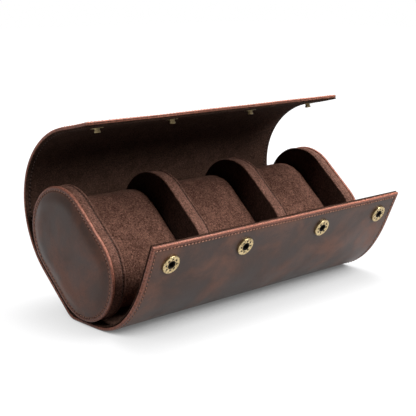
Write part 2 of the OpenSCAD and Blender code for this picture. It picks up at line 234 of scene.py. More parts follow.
# Zones of the wrap: each crosses one bend at most
JOINT_S = {
    "back_bend": strip_start(TOP_STRIPS, 2),
    "crown_bend": strip_start(TOP_STRIPS, 3),
    "cover_bend": strip_start(TOP_STRIPS, 4),
    "sill_bend": -strip_start(FRONT_STRIPS, 3),
    "front_bend": -strip_start(FRONT_STRIPS, 5),
    "snap_bend": -strip_start(FRONT_STRIPS, 6),
}


SPINE_START = JOINT_S["sill_bend"] + 12
SPINE_END = 6


def halfway(a, b):
    return (JOINT_S[a] + JOINT_S[b]) / 2


# name, first s, last s, body or (body before, body after), bend
ZONES = [
    ("snap_panel", FRONT_END, halfway("snap_bend", "front_bend"), ("snap_panel", "front"), "snap_bend"),
    ("front", halfway("snap_bend", "front_bend"), halfway("front_bend", "sill_bend"), ("front", "sill"),
     "front_bend"),
    ("sill", halfway("front_bend", "sill_bend"), SPINE_START, ("sill", "case"), "sill_bend"),
    ("spine", SPINE_START, SPINE_END, "case", None),
    ("back", SPINE_END, halfway("back_bend", "crown_bend"), ("case", "back"), "back_bend"),
    ("crown", halfway("back_bend", "crown_bend"), halfway("crown_bend", "cover_bend"), ("back", "crown"),
     "crown_bend"),
    ("cover", halfway("crown_bend", "cover_bend"), TOP_END, ("crown", "cover"), "cover_bend"),
]
BEND_REACH = 9


def place_on_zone(piece, zone):
    """Rides a piece of a zone on its body; a piece across a joint only has its transform baked in."""
    bodies, bend = zone[3:]
    if bend is None:
        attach(piece, bodies)
        return
    start = wrap_point(JOINT_S[bend] - BEND_REACH, 0, 0) * MM
    end = wrap_point(JOINT_S[bend] + BEND_REACH, 0, 0) * MM
    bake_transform(piece)


# Meshes

def new_object(name, mesh, material):
    piece = bpy.data.objects.new(name, mesh)
    bpy.context.scene.collection.objects.link(piece)
    if material:
        mesh.materials.clear()
        mesh.materials.append(material)
    return piece


def smooth(mesh):
    for polygon in mesh.polygons:
        polygon.use_smooth = True


def evaluated(piece):
    """The piece as its modifiers leave it."""
    return piece.evaluated_get(bpy.context.evaluated_depsgraph_get())


def ring_faces(rings, count):
    """Faces of a closed form made of rings of count points each: its side, then its two ends."""
    corners = ((0, 0), (0, 1), (1, 1), (1, 0))
    faces = [[(k + up) * count + (j + on) % count for up, on in corners]
             for k in range(rings - 1) for j in range(count)]
    return faces + [list(range(count))[::-1], [(rings - 1) * count + j for j in range(count)]]


def volume_sign(points, faces):
    """Positive if the faces point outwards."""
    total = 0.0
    for face in faces:
        a = points[face[0]]
        for k in range(1, len(face) - 1):
            total += np.dot(a, np.cross(points[face[k]], points[face[k + 1]]))
    return 1 if total > 0 else -1


def mesh_piece(name, points, faces, material, uvs=None, tones=None, corner_normals=None):
    """Closed mesh from millimetre points; uvs and (edge, seam) tones go by point, normals by corner."""
    points = np.array(points, float)
    if volume_sign(points, faces) < 0:
        faces = [face[::-1] for face in faces]
        if corner_normals is not None:
            corner_normals = [normals[::-1] for normals in corner_normals]
    mesh = bpy.data.meshes.new(name)
    mesh.from_pydata([tuple(p) for p in points * MM], [], faces)
    smooth(mesh)
    if uvs is not None:
        layer = mesh.uv_layers.new(name="UVMap")
        for loop in mesh.loops:
            layer.data[loop.index].uv = np.array(uvs[loop.vertex_index]) * MM
    for column, kind in enumerate(("edge", "seam")):
        tone = mesh.attributes.new(kind, "FLOAT", "POINT")
        if tones is not None:
            tone.data.foreach_set("value", np.array(tones, np.float32)[:, column])
    mesh.update()
    if corner_normals is not None:
        mesh.normals_split_custom_set([tuple(n) for normals in corner_normals for n in normals])
    return new_object(name, mesh, material)


def rounded(radius):
    """Offsets (along the face, into the thickness) of a quarter round, from the wall to the face."""
    angles = [math.pi / 2 * k / CORNER_STEPS for k in range(CORNER_STEPS + 1)]
    return [(radius * (1 - math.cos(a)), radius * (1 - math.sin(a))) for a in angles]


def spread(total, fine):
    """Distances from an edge: the fine ones, then even steps of COLUMN_STEP or less up to total."""
    count = math.ceil((total - fine[-1]) / COLUMN_STEP)
    return fine + [fine[-1] + (total - fine[-1]) * k / count for k in range(1, count + 1)]


# Shares of a leather edge's burnish and painted highlight, each with the distances between which it fades
BURNISH_AND_HIGHLIGHT = ((0.52, 0.2, 1.3), (0.48, 2.0, 4.2))


def edge_tone(distance):
    """Burnish of leather, with its painted highlight, by its distance from a cut edge: 1 on the edge, some
    of it up to the stitches.
    """
    return sum(share * (1 - ease(start, stop, distance)) for share, start, stop in BURNISH_AND_HIGHLIGHT)


def seam_tone(distance, width=SEAM_WIDTH):
    """Darkness of the pulled-in line under stitches, by the distance from its middle."""
    return math.exp(-(distance / width) ** 2)


def from_edges(s, x):
    """Distances from the wrap's side edge and from its flap edge."""
    return HALF_LENGTH - abs(x), min(s - FRONT_END, TOP_END - s)


def from_stitches(s, x):
    """Distance from the line of stitches."""
    from_side, from_end = from_edges(s, x)
    return min(abs(from_side - STITCH_INSET) if from_end > STITCH_INSET - 1 else 9,
               abs(from_end - STITCH_INSET) if from_side > STITCH_INSET - 1 else 9)


class Layer:
    """One sheet of the wrap, leather or lining, as rows of closed loops."""

    def __init__(self, low, high, low_round, high_round, grooved, holes):
        self.low, self.high = low, high
        self.low_round, self.high_round = low_round, high_round
        self.grooved = grooved
        self.holes = holes

    def rows(self):
        """Values of s from edge to edge, fine at the edges, the stitches and the zones' ends."""
        fine = [0.0, 0.15, 0.4, 0.8, EDGE_ZONE] + STITCH_STEPS
        marks = [FRONT_END + d for d in fine] + [TOP_END - d for d in fine]
        marks += [zone[1] for zone in ZONES[1:]]
        if self.holes:
            marks += [SOCKET_S - TUBE_HOLE, SOCKET_S + TUBE_HOLE]
        marks = sorted(marks)
        rows = []
        for a, b in zip(marks, marks[1:]):
            count = max(1, math.ceil((b - a) / ROW_STEP))
            rows += [a + (b - a) * k / count for k in range(count)]
        return rows + [marks[-1]]

    def columns(self, radius):
        """Distances of a face's points from the side edge, up to the middle."""
        columns = spread(HALF_LENGTH, [radius, EDGE_ZONE] + STITCH_STEPS)
        if self.holes:
            columns += [HALF_LENGTH - x + way * TUBE_HOLE for x in SNAP_X if x > 0 for way in (-1, 1)]
        return sorted(columns)

    def loop(self, s):
        """(x, height) round the section at s, starting on the low side."""
        from_end = from_edges(s, 0)[1]
        sides = []
        for height, radius, way in ((self.low, self.low_round, 1), (self.high, self.high_round, -1)):
            depth = radius - math.sqrt(max(0.0, radius ** 2 - max(0.0, radius - from_end) ** 2))
            face = [(HALF_LENGTH - d, 0.0) for d in self.columns(radius)]
            face = face + [(-x, h) for x, h in face[-2::-1]]
            edge = [(HALF_LENGTH - along, into) for along, into in rounded(radius)[:-1]]
            whole = edge + face + [(-x, h) for x, h in edge[::-1]]
            sides.append([(x, height + way * (into + depth)) for x, into in whole])
        low, high = sides
        return low[::-1] + high

    def point(self, s, x, height):
        """Row-frame point of the sheet, sunk under the stitches on its grooved side."""
        groove = GROOVE_DEPTH * math.exp(-(from_stitches(s, x) / GROOVE_WIDTH) ** 2)
        if self.grooved == "low" and abs(height - self.low) < 0.001:
            height += groove
        if self.grooved == "high" and abs(height - self.high) < 0.001:
            height -= groove
        return wrap_point(s, x, height)


def nearest(values, goal):
    return min(range(len(values)), key=lambda k: abs(values[k] - goal))


def tube_holes(rows, xs):
    """Square holes for the snaps' tubes: the cells left out and the walls, as corners (row, column)."""
    count = len(xs)
    k0, k1 = nearest(rows, SOCKET_S - TUBE_HOLE), nearest(rows, SOCKET_S + TUBE_HOLE)
    left_out, walls = set(), []
    for x in SNAP_X:
        j0, j1 = sorted(nearest(xs[:count // 2], x + way * TUBE_HOLE) for way in (-1, 1))
        m0, m1 = count - 1 - j0, count - 1 - j1
        for k in range(k0, k1):
            left_out |= {(k, j) for j in range(j0, j1)} | {(k, count - 2 - j) for j in range(j0, j1)}
            walls.append([(k + 1, j0), (k, j0), (k, m0), (k + 1, m0)])
            walls.append([(k, j1), (k + 1, j1), (k + 1, m1), (k, m1)])
        for j in range(j0, j1):
            m = count - 2 - j
            walls.append([(k0, j), (k0, j + 1), (k0, m), (k0, m + 1)])
            walls.append([(k1, j + 1), (k1, j), (k1, m + 1), (k1, m)])
    return left_out, walls


def sheet_normals(loops, grid, along):
    """Outward unit normals at a sheet's points; along is its direction from row to row."""
    around = np.roll(grid, -1, axis=1) - np.roll(grid, 1, axis=1)
    normals = np.cross(along, around)
    normals /= np.maximum(np.linalg.norm(normals, axis=2), 1e-9)[:, :, None]
    middle = len(loops) // 2
    low_middle = int(np.argmin([abs(x) + (h > 0) * 9 for x, h in loops[middle]]))
    outward = grid[middle, low_middle] - grid[middle].mean(axis=0)
    return normals if np.dot(normals[middle, low_middle], outward) > 0 else -normals


def strip_faces(grid, normals, along, first, last, left_out, walls):
    """Closed strip of a sheet between two rows: its faces and the normals of their corners."""
    count = grid.shape[1]
    faces, corner_normals = [], []
    for k in range(first, last):
        for j in range(count):
            if (k, j) not in left_out:
                corners = [(k, j), (k, (j + 1) % count), (k + 1, (j + 1) % count), (k + 1, j)]
                faces.append([(a - first) * count + b for a, b in corners])
                corner_normals.append([normals[a, b] for a, b in corners])
    for wall in walls:
        if all(first <= k <= last for k, _ in wall):
            a, b, c = (Vector(grid[k, j]) for k, j in wall[:3])
            faces.append([(k - first) * count + j for k, j in wall])
            corner_normals.append([(b - a).cross(c - b).normalized()] * 4)
    for k, sign in ((first, -1), (last, 1)):
        face = [(k - first) * count + j for j in range(count)]
        way = sign * along[k].mean(axis=0)
        faces.append(face[::sign])
        corner_normals.append([way / np.linalg.norm(way)] * count)
    return faces, corner_normals


def make_layer(layer, suffix, material):
    """Builds a layer zone by zone, with normals that run on from zone to zone."""
    rows = layer.rows()
    loops = [layer.loop(s) for s in rows]
    grid = np.array([[layer.point(s, x, h) for x, h in loop] for s, loop in zip(rows, loops)])
    along = np.gradient(grid, axis=0)
    normals = sheet_normals(loops, grid, along)
    left_out, walls = tube_holes(rows, [x for x, _ in loops[0]]) if layer.holes else ((), ())
    pieces = []
    for zone in ZONES:
        first, last = nearest(rows, zone[1]), nearest(rows, zone[2])
        spots = [(rows[k], x) for k in range(first, last + 1) for x, _ in loops[k]]
        tones = [(edge_tone(min(from_edges(s, x))), seam_tone(from_stitches(s, x))) for s, x in spots]
        faces, corner_normals = strip_faces(grid, normals, along, first, last, left_out, walls)
        piece = mesh_piece(f"{zone[0]}_{suffix}", grid[first:last + 1].reshape(-1, 3), faces, material,
                           [(x, s) for s, x in spots], tones, corner_normals)
        place_on_zone(piece, zone)
        pieces.append(piece)
    return pieces


# Stitches, laid along paths by Geometry Nodes

def feed(tree, node, inputs):
    """Sets a node's inputs, by name or number, to other nodes' outputs, colours or plain values."""
    for key, value in inputs.items():
        socket = node.inputs[key]
        if isinstance(value, bpy.types.NodeSocket):
            tree.links.new(value, socket)
        else:
            socket.default_value = (*value, 1) if socket.type == "RGBA" else value


def add(tree, kind, inputs=None, **settings):
    """New node of a tree, with its settings and inputs."""
    node = tree.nodes.new(kind)
    for key, value in settings.items():
        setattr(node, key, value)
    feed(tree, node, inputs or {})
    return node


def stitch_turn(tree):
    """Rotation of a stitch: along its path, flat on the surface and slanted a little."""
    tangent = add(tree, "GeometryNodeInputTangent")
    facing = add(tree, "GeometryNodeInputNamedAttribute", {"Name": "facing"}, data_type="FLOAT_VECTOR")
    align = "FunctionNodeAlignRotationToVector"
    along = add(tree, align, {"Vector": tangent.outputs["Tangent"]}, axis="X")
    turned = {"Rotation": along.outputs["Rotation"], "Vector": facing.outputs["Attribute"]}
    flat = add(tree, align, turned, axis="Z", pivot_axis="X")
    slanted = {"Rotation": flat.outputs["Rotation"], "Rotate By": (0, 0, STITCH_SLANT)}
    return add(tree, "FunctionNodeRotateRotation", slanted, rotation_space="LOCAL").outputs["Rotation"]


def stitch_tree(name, material):
    """Tree that lays one slanted, rounded stitch per pitch along each edge path."""
    tree = bpy.data.node_groups.new(name, "GeometryNodeTree")
    tree.interface.new_socket("Geometry", in_out="INPUT", socket_type="NodeSocketGeometry")
    for size, value in (("Pitch", STITCH_PITCH), ("Length", STITCH_LENGTH), ("Width", STITCH_WIDTH)):
        socket = tree.interface.new_socket(size, in_out="INPUT", socket_type="NodeSocketFloat")
        socket.default_value = value * MM
    tree.interface.new_socket("Geometry", in_out="OUTPUT", socket_type="NodeSocketGeometry")
    given = add(tree, "NodeGroupInput").outputs
    curve = add(tree, "GeometryNodeMeshToCurve", {"Mesh": given["Geometry"]})
    spacing = {"Curve": curve.outputs["Curve"], "Length": given["Pitch"]}
    points = add(tree, "GeometryNodeResampleCurve", spacing, mode="LENGTH")
    bead = add(tree, "GeometryNodeMeshUVSphere", {"Segments": 8, "Rings": 6, "Radius": 0.5})
    sizes = {"X": given["Length"], "Y": given["Width"], "Z": given["Width"]}
    size = add(tree, "ShaderNodeCombineXYZ", sizes)
    laid = add(tree, "GeometryNodeInstanceOnPoints", {
        "Points": points.outputs["Curve"],
        "Instance": bead.outputs["Mesh"],
        "Rotation": stitch_turn(tree),
        "Scale": size.outputs["Vector"],
    })
    real = add(tree, "GeometryNodeRealizeInstances", {"Geometry": laid.outputs["Instances"]})
    thread = {"Geometry": real.outputs["Geometry"], "Material": material}
    finish = add(tree, "GeometryNodeSetMaterial", thread)
    add(tree, "NodeGroupOutput", {"Geometry": finish.outputs["Geometry"]})
    return tree


def stitch_rows(name, paths, tree, sizes=None):
    """One mesh of stitches; each path is a list of (point, facing) in millimetres."""
    mesh = bpy.data.meshes.new(name)
    points, edges, facings = [], [], []
    for path in paths:
        start = len(points)
        points += [tuple(Vector(p) * MM) for p, n in path]
        facings += [tuple(n) for p, n in path]
        edges += [(start + k, start + k + 1) for k in range(len(path) - 1)]
    mesh.from_pydata(points, edges, [])
    facing = mesh.attributes.new("facing", "FLOAT_VECTOR", "POINT")
    facing.data.foreach_set("vector", [c for n in facings for c in n])
    row = new_object(name + "_path", mesh, None)
    modifier = row.modifiers.new("stitches", "NODES")
    modifier.node_group = tree
    for item in tree.interface.items_tree:
        if item.in_out == "INPUT" and sizes and item.name in sizes:
            modifier[item.identifier] = sizes[item.name] * MM
    made = bpy.data.meshes.new_from_object(evaluated(row))
    made.name = name
    bpy.data.objects.remove(row)
    smooth(made)
    return new_object(name, made, None)


STITCH_PATH_STEP = 1.2
OUTSIDE, INSIDE = -1, 1
STITCH_SINK = {OUTSIDE: -0.02, INSIDE: 0.26}


def wrap_stitches(tree, side, suffix):
    """Rows along the wrap's outline on its outside or inside, one mesh per zone."""
    end_x = HALF_LENGTH - STITCH_INSET
    height = side * (MID - STITCH_SINK[side])
    for zone in ZONES:
        name, first, last = zone[:3]
        start = max(first, FRONT_END + STITCH_INSET)
        end = min(last, TOP_END - STITCH_INSET)
        count = max(4, round((end - start) / STITCH_PATH_STEP))
        along = [start + (end - start) * k / count for k in range(count + 1)]
        runs = [[(s, x) for s in along] for x in (-end_x, end_x)]
        for edge in (FRONT_END + STITCH_INSET, TOP_END - STITCH_INSET):
            if first < edge < last:
                runs.append([(edge, -end_x + 2 * end_x * k / 80) for k in range(81)])
        paths = [[(wrap_point(s, x, height), side * wrap_normal(s)) for s, x in run] for run in runs]
        piece = stitch_rows(f"{name}_{suffix}", paths, tree)
        place_on_zone(piece, zone)


# End caps and dividers: closed forms made of stadium-shaped rings

ARC_STEPS = 28
SIDE_STEPS = 12


def stadium_ring(radius, x):
    """Points of a stadium of that radius at x along the case."""
    ring = []
    for side in (1, -1):
        for k in range(ARC_STEPS):
            angle = -side * math.pi / 2 + math.pi * k / ARC_STEPS
            ring.append((side * HALF_STRAIGHT + radius * math.cos(angle), radius * math.sin(angle)))
        for k in range(SIDE_STEPS):
            share = k / SIDE_STEPS
            ring.append((side * HALF_STRAIGHT * (1 - 2 * share), side * radius))
    points = []
    for along, across in ring:
        y, z = section_to_row(along, across)
        points.append((x, y, z))
    return points


def section_middle(point):
    """Nearest point to a row-frame point on the line between the rounded sides' centres."""
    x, y, z = point
    along = y * math.sin(LEAN) + (z - CENTRE_HEIGHT) * math.cos(LEAN)
    return Vector((x, *section_to_row(max(-HALF_STRAIGHT, min(HALF_STRAIGHT, along)), 0)))


def ringed_piece(name, profile, material, tones, rough=0.0, seed=0.0):
    """Closed form on the case, from a list of (radius, x) from the middle of one face to the other's."""
    points, uvs, ring_tones = [], [], []
    travelled = 0.0
    for k, (radius, x) in enumerate(profile):
        if k:
            travelled += math.dist(profile[k - 1], profile[k])
        ring = stadium_ring(radius, x)
        count = len(ring)
        for j, p in enumerate(ring):
            shift = rough * noise.noise(Vector((p[1] / 9 + seed, p[2] / 9, x / 9)))
            away = Vector(p) - section_middle(p)
            away = away.normalized() if away.length > 1 else Vector((0, 0, 0))
            points.append(tuple(Vector(p) + away * shift))
            uvs.append((j * 2 * (math.pi * END_RADIUS + 2 * HALF_STRAIGHT) / count, travelled))
            ring_tones.append(tones[k])
    piece = mesh_piece(name, points, ring_faces(len(profile), count), material, uvs, ring_tones)
    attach(piece, "case")
    return piece


CAP_RIM_ROUND = 0.9
CAP_STITCH_INSET = 2.6
CAP_LEATHER = 2.0
CAP_CROWN = 1.6
CAP_GLUE = CAP_OUTER - CAP_LEATHER
CAP_INSETS = (1.3, 1.7, 2.0, 2.3, 2.6, 2.9, 3.2, 3.5, 3.9, 4.4, 5, 6, 7.5, 9.5, 12, 15, 18.5, 22, 26)


def cap_leather_profile():
    """(radius, depth under the cap's rim face) from the glued back to the middle of the padded front."""
    profile = [(END_RADIUS - 1.5, CAP_LEATHER), (END_RADIUS - 0.5, CAP_LEATHER), (END_RADIUS - 0.1, 1.75)]
    for angle in (math.pi / 2 * k / 5 for k in range(6)):
        inset, depth = CAP_RIM_ROUND * (1 - math.cos(angle)), CAP_RIM_ROUND * (1 - math.sin(angle))
        profile.append((END_RADIUS - inset, depth))
    for inset in CAP_INSETS:
        groove = 0.35 * math.exp(-((inset - CAP_STITCH_INSET) / 0.5) ** 2)
        crown = CAP_CROWN * smoothstep(2.6, 11, inset) ** 0.8
        profile.append((END_RADIUS - inset, float(groove - crown)))
    return profile


# Suede bands: (radius, offset along x) of the groove beside an edge, and its stitches
RIDGE_GROOVE = [(30.15, 0.2), (30.05, 0.0), (30.15, -0.2), (30.7, -0.45)]
RIDGE_RADIUS = 30.3
RIDGE_STITCH = {"Length": 2.1, "Width": 0.45, "Pitch": 2.5}
RIDGE_SEAM = 0.4
CAP_RIDGE = CAP_GLUE - 6.6
DIVIDER_RIDGE = 1.7
BAND_ROUGH = 0.25


def ridge_path(x):
    """Closed path along a groove of a band, facing outwards."""
    ring = [Vector(p) for p in stadium_ring(RIDGE_RADIUS, x)]
    return [(p, (p - section_middle(p)).normalized()) for p in ring]


def ride_stitches(name, path, tree, sizes=None):
    """A closed row of stitches on the case."""
    row = stitch_rows(name, [path + path[:1]], tree, sizes)
    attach(row, "case")


def make_cap_face(side, name, leather):
    """Padded leather front of an end cap."""
    outline = cap_leather_profile()
    insets = [END_RADIUS - r for r, depth in outline]
    tones = [(0.8 * edge_tone(max(0, d - 0.6)), seam_tone(d - CAP_STITCH_INSET)) for d in insets]
    profile = [(r, side * (CAP_OUTER - depth)) for r, depth in outline]
    cover = ringed_piece(f"{name}_cap_face", profile, leather, tones)
    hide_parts(f"{name}_cap_leather")


def make_gusset(side, name, suede):
    """Suede band round an end cap, with the facing on its compartment side."""
    front = [(20, 0), (29.8, 0), (30.25, 0.4), (30.55, 1.2), (30.7, 2.6), (30.7, 5), (30.6, 6)]
    band = [(r, CAP_GLUE - d) for r, d in front] + [(r, CAP_RIDGE + d) for r, d in RIDGE_GROOVE]
    band += [(30.98, CAP_GLUE - 7.5), (30.98, CAP_INNER + 0.8), (30.7, CAP_INNER + 0.25), (30.1, CAP_INNER)]
    band += [(r, CAP_INNER + 0.1) for r in (28.5, 25, 17, 6)]
    tones = [(0.0, seam_tone(x - CAP_RIDGE, RIDGE_SEAM)) for r, x in band]
    gusset = ringed_piece(f"{name}_cap_gusset_band", [(r, side * x) for r, x in band], suede,
                          tones, rough=BAND_ROUGH, seed=side * 3.1)
    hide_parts(f"{name}_cap_gusset", f"{name}_cap_facing", f"{name}_cap_board")


def stitch_cap(side, name, rim_stitches, ridge_stitches):
    """Stitches round an end cap's rim and along its gusset."""
    rim = stadium_ring(END_RADIUS - CAP_STITCH_INSET, side * (CAP_OUTER - 0.2))
    ride_stitches(f"{name}_cap_stitches", [(p, (side, 0, 0)) for p in rim], rim_stitches)
    ridge = ridge_path(side * CAP_RIDGE)
    ride_stitches(f"{name}_ridge_stitches", ridge, ridge_stitches, RIDGE_STITCH)


def make_divider(side, name, suede, stitches):
    """Divider with its band, both faces and the stitched groove by its edge."""
    middle = side * DIVIDER_X
    half = DIVIDER_THICKNESS / 2
    ridge = half - DIVIDER_RIDGE
    profile = [(r, -half + 0.1) for r in (4, 17, 25, 28.5)]
    profile += [(30.0, -half), (30.65, -half + 0.3), (30.9, -half + 0.9), (30.9, -half + 2), (30.8, 0),
                (30.75, ridge - 1.4), (30.65, ridge - 0.55)]
    profile += [(r, ridge - d) for r, d in RIDGE_GROOVE]
    profile += [(30.98, ridge + 0.8), (30.98, half - 0.6), (30.7, half - 0.2), (30.1, half)]
    profile += [(r, half - 0.1) for r in (28.5, 25, 17, 4)]
    tones = [(0.0, seam_tone(x - ridge, RIDGE_SEAM)) for r, x in profile]
    piece = ringed_piece(f"{name}_divider", [(r, middle + x) for r, x in profile], suede,
                         tones, rough=BAND_ROUGH, seed=side * 7.7)
    parts = ("board", "band", "left_face", "right_face")
    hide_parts(*[f"{name}_divider_{part}" for part in parts])
    path = ridge_path(middle + ridge)
    ride_stitches(f"{name}_divider_stitches", path, stitches, RIDGE_STITCH)


# Pillows

PILLOW_RADIUS = 26
PILLOW_HALF_STRAIGHT = 15.35
PILLOW_FACE = 14.8
PILLOW_RISE = 3.2
PILLOW_GAP = 0.3
PILLOW_LENGTH = COMPARTMENT - 2 * PILLOW_GAP
PILLOW_SLACK = 0.9
PILLOW_BARREL = 1.0
PILLOW_ENDS = [(0.0, 3.6), (0.3, 2.0), (0.9, 1.0), (1.9, 0.35), (3.4, 0.05)]
PILLOW_STATIONS = 16
PILLOW_STEPS = 96
VOXEL = 2.6
STUFF_PRESSURE = 4
STUFF_FRAMES = 20
SWELL_CAP = 1.4
# height and size of the lumps of the stuffing and of the cloth
PUFF = (0.7, 19)
NAP = (0.12, 5)


def depth_inside(along, across):
    """Distances from a section point to a pillow's outline and to the compartment's, positive inside."""
    soft = PILLOW_RADIUS - math.hypot(max(0, abs(along - PILLOW_RISE) - PILLOW_HALF_STRAIGHT),
                                      across - PILLOW_FACE + PILLOW_RADIUS)
    hard = END_RADIUS - PILLOW_GAP - math.hypot(max(0, abs(along) - HALF_STRAIGHT), across)
    return soft, hard


def pillow_ring(inset):
    """Outline of a pillow's section, drawn in by inset; its back follows the compartment.

    The outline is met by halving along rays from a point inside the pillow.
    """
    middle = PILLOW_FACE - PILLOW_RADIUS + 6
    ring = []
    for k in range(PILLOW_STEPS):
        angle = 2 * math.pi * k / PILLOW_STEPS
        low, high = 0.0, 80.0
        for _ in range(24):
            reach = (low + high) / 2
            along, across = PILLOW_RISE + reach * math.cos(angle), middle + reach * math.sin(angle)
            low, high = (reach, high) if min(depth_inside(along, across)) > inset else (low, reach)
        ring.append((PILLOW_RISE + low * math.cos(angle), middle + low * math.sin(angle)))
    return ring


def pillow_form():
    """Points (x, along, across) and faces of a slack pillow."""
    half = PILLOW_LENGTH / 2 - PILLOW_SLACK / 2
    end = PILLOW_ENDS[-1][0]
    step = (2 * half - 2 * end) / PILLOW_STATIONS
    stations = [(end + step * k, 0.0) for k in range(1, PILLOW_STATIONS)]
    stations = PILLOW_ENDS + stations + [(2 * half - d, inset) for d, inset in PILLOW_ENDS[::-1]]
    points = []
    for distance, inset in stations:
        x = distance - half
        for along, across in pillow_ring(inset + PILLOW_SLACK):
            sag = PILLOW_BARREL * (x / half) ** 4 * ease(-10, 14, across)
            points.append((x, along, across - sag))
    return points, ring_faces(len(stations), PILLOW_STEPS)


def within_compartment(x, along, across):
    """The nearest point that stays clear of the dividers, the board and the wrap."""
    limit = PILLOW_LENGTH / 2 + 0.05
    x = max(-limit, min(limit, x))
    for _ in range(3):
        hard = depth_inside(along, across)[1]
        if hard < 0:
            middle = max(-HALF_STRAIGHT, min(HALF_STRAIGHT, along))
            size = math.hypot(along - middle, across)
            along, across = along + hard * (along - middle) / size, across * (1 + hard / size)
    return x, along, across


def stuff(piece):
    """Swells a slack form by cloth simulation and returns its points in millimetres and faces."""
    remesh = piece.modifiers.new("voxels", "REMESH")
    remesh.mode = "VOXEL"
    remesh.voxel_size = VOXEL * MM
    piece.data = bpy.data.meshes.new_from_object(evaluated(piece))
    piece.modifiers.clear()
    before = np.array([v.co for v in piece.data.vertices])
    cloth = piece.modifiers.new("stuffing", "CLOTH")
    cloth.settings.use_pressure = True
    cloth.settings.uniform_pressure_force = STUFF_PRESSURE
    cloth.settings.effector_weights.gravity = 0
    cloth.point_cache.frame_start = 1
    cloth.point_cache.frame_end = STUFF_FRAMES
    scene = bpy.context.scene
    for frame_number in range(1, STUFF_FRAMES + 1):
        scene.frame_set(frame_number)
    after = np.array([v.co for v in evaluated(piece).data.vertices])
    piece.modifiers.clear()
    scene.frame_set(1)
    move = after - before
    size = np.linalg.norm(move, axis=1)
    capped = before + move * np.minimum(1, SWELL_CAP * MM / np.maximum(size, 1e-9))[:, None]
    faces = [list(polygon.vertices) for polygon in piece.data.polygons]
    return capped / MM, faces


def pillow_shape():
    """Points (x, along, across) and faces of a stuffed pillow."""
    points, faces = pillow_form()
    mesh = bpy.data.meshes.new("pillow_form")
    mesh.from_pydata([tuple(c * MM for c in p) for p in points], [], faces)
    piece = new_object("pillow_form", mesh, None)
    points, faces = stuff(piece)
    bpy.data.objects.remove(piece)
    return [tuple(p) for p in points], faces


def make_pillow(slot, name, shape, material):
    """Pillow of a compartment: slot -1, 0 or 1 along the case."""
    points = []
    for x, along, across in shape[0]:
        lumps = [height * noise.noise(Vector((x / size + slot * 9, along / size, across / size)))
                 for height, size in (PUFF, NAP)]
        across += sum(lumps) * ease(-5, 10, across)
        x, along, across = within_compartment(x, along, across)
        y, z = section_to_row(along, across)
        points.append((slot * PILLOW_X + x, y, z))
    piece = mesh_piece(f"{name}_pillow", points, shape[1], material)
    finer = piece.modifiers.new("finer", "SUBSURF")
    finer.levels = finer.render_levels = 1
    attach(piece, f"{name}_pillow")
    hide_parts(f"{name}_pillow_cover", f"{name}_pillow_core")


# Dark parts of the sockets: patina and painted shade

DIMPLES = 8
DIMPLE_RING = 3.97
DIMPLE_RADIUS = 0.72
DIMPLE_HEIGHT = 0.12
HOLE_RING = 2.55
HOLE_RING_WIRE = 0.35
HOLE_RING_DROP = 0.25
RING_STEPS = 32
WIRE_STEPS = 10


def circle(radius, steps):
    """Points (x, y) of a circle."""
    angles = [math.tau * k / steps for k in range(steps)]
    return [(radius * math.cos(a), radius * math.sin(a)) for a in angles]


def torus(form, radius, wire, matrix):
    """Adds a ring of round wire to a bmesh."""
    rings = []
    for x, y in circle(1, RING_STEPS):
        section = [(radius + out, up) for out, up in circle(wire, WIRE_STEPS)]
        rings.append([form.verts.new(matrix @ Vector((r * x, r * y, up))) for r, up in section])
    for k, ring in enumerate(rings):
        after = rings[(k + 1) % RING_STEPS]
        for j in range(WIRE_STEPS):
            on = (j + 1) % WIRE_STEPS
            form.faces.new((ring[j], after[j], after[on], ring[on]))


def make_socket_dots_patina_and_shade(material):
    """Dark punched dots and hole rims of the sockets: patina, and painted shade in the dimples and the
    holes.
    """
    out = -wrap_normal(SOCKET_S)
    down = Vector((1, 0, 0)).cross(out)
    y, z = section_to_row(*path_at(SOCKET_S)[:2])
    axes = Matrix((down, Vector((1, 0, 0)), out)).transposed().to_4x4()
    form = bmesh.new()
    face = Matrix.Translation((0, 0, SOCKET_HEIGHT - SOCKET_RECESS))
    hole = Matrix.Translation((0, 0, SOCKET_HEIGHT - HOLE_RING_DROP))
    size = Matrix.Diagonal((DIMPLE_RADIUS, DIMPLE_RADIUS, DIMPLE_HEIGHT, 1))
    for snap_x in SNAP_X:
        place = Matrix.Scale(MM, 4) @ Matrix.Translation(Vector((snap_x, y, z)) + out * MID) @ axes
        for dot_x, dot_y in circle(DIMPLE_RING, DIMPLES):
            spot = Matrix.Translation((dot_x, dot_y, 0))
            bmesh.ops.create_uvsphere(form, u_segments=12, v_segments=6, radius=1,
                                      matrix=place @ face @ spot @ size)
        torus(form, HOLE_RING, HOLE_RING_WIRE, place @ hole)
    mesh = bpy.data.meshes.new("socket_dots_patina_and_shade")
    bmesh.ops.recalc_face_normals(form, faces=form.faces)
    form.to_mesh(mesh)
    form.free()
    smooth(mesh)
    piece = new_object("socket_dots_patina_and_shade", mesh, material)
    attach(piece, "snap_panel")


# Materials

def material_base(name):
    material = bpy.data.materials.new(name)
    material.use_nodes = True
    tree = material.node_tree
    return material, tree, tree.nodes["Principled BSDF"]


def noise_texture(tree, vector, scale, detail, roughness, distortion=0.0):
    """Noise whose scale is features per metre."""
    inputs = {"Vector": vector, "Scale": scale, "Detail": detail, "Roughness": roughness}
    return add(tree, "ShaderNodeTexNoise", inputs | {"Distortion": distortion}).outputs["Fac"]


def ramp(tree, value, stops):
    """Colour ramp; stops are (position, colour)."""
    node = add(tree, "ShaderNodeValToRGB", {"Fac": value})
    elements = node.color_ramp.elements
    while len(elements) < len(stops):
        elements.new(0.5)
    for element, (position, colour) in zip(elements, stops):
        element.position = position
        element.color = (*colour, 1)
    return node.outputs["Color"]


def mix(tree, share, a, b):
    """Mixes two colours."""
    return add(tree, "ShaderNodeMix", {0: share, 6: a, 7: b}, data_type="RGBA").outputs[2]


def math_node(tree, operation, a, b=0.0):
    return add(tree, "ShaderNodeMath", {0: a, 1: b}, operation=operation).outputs[0]


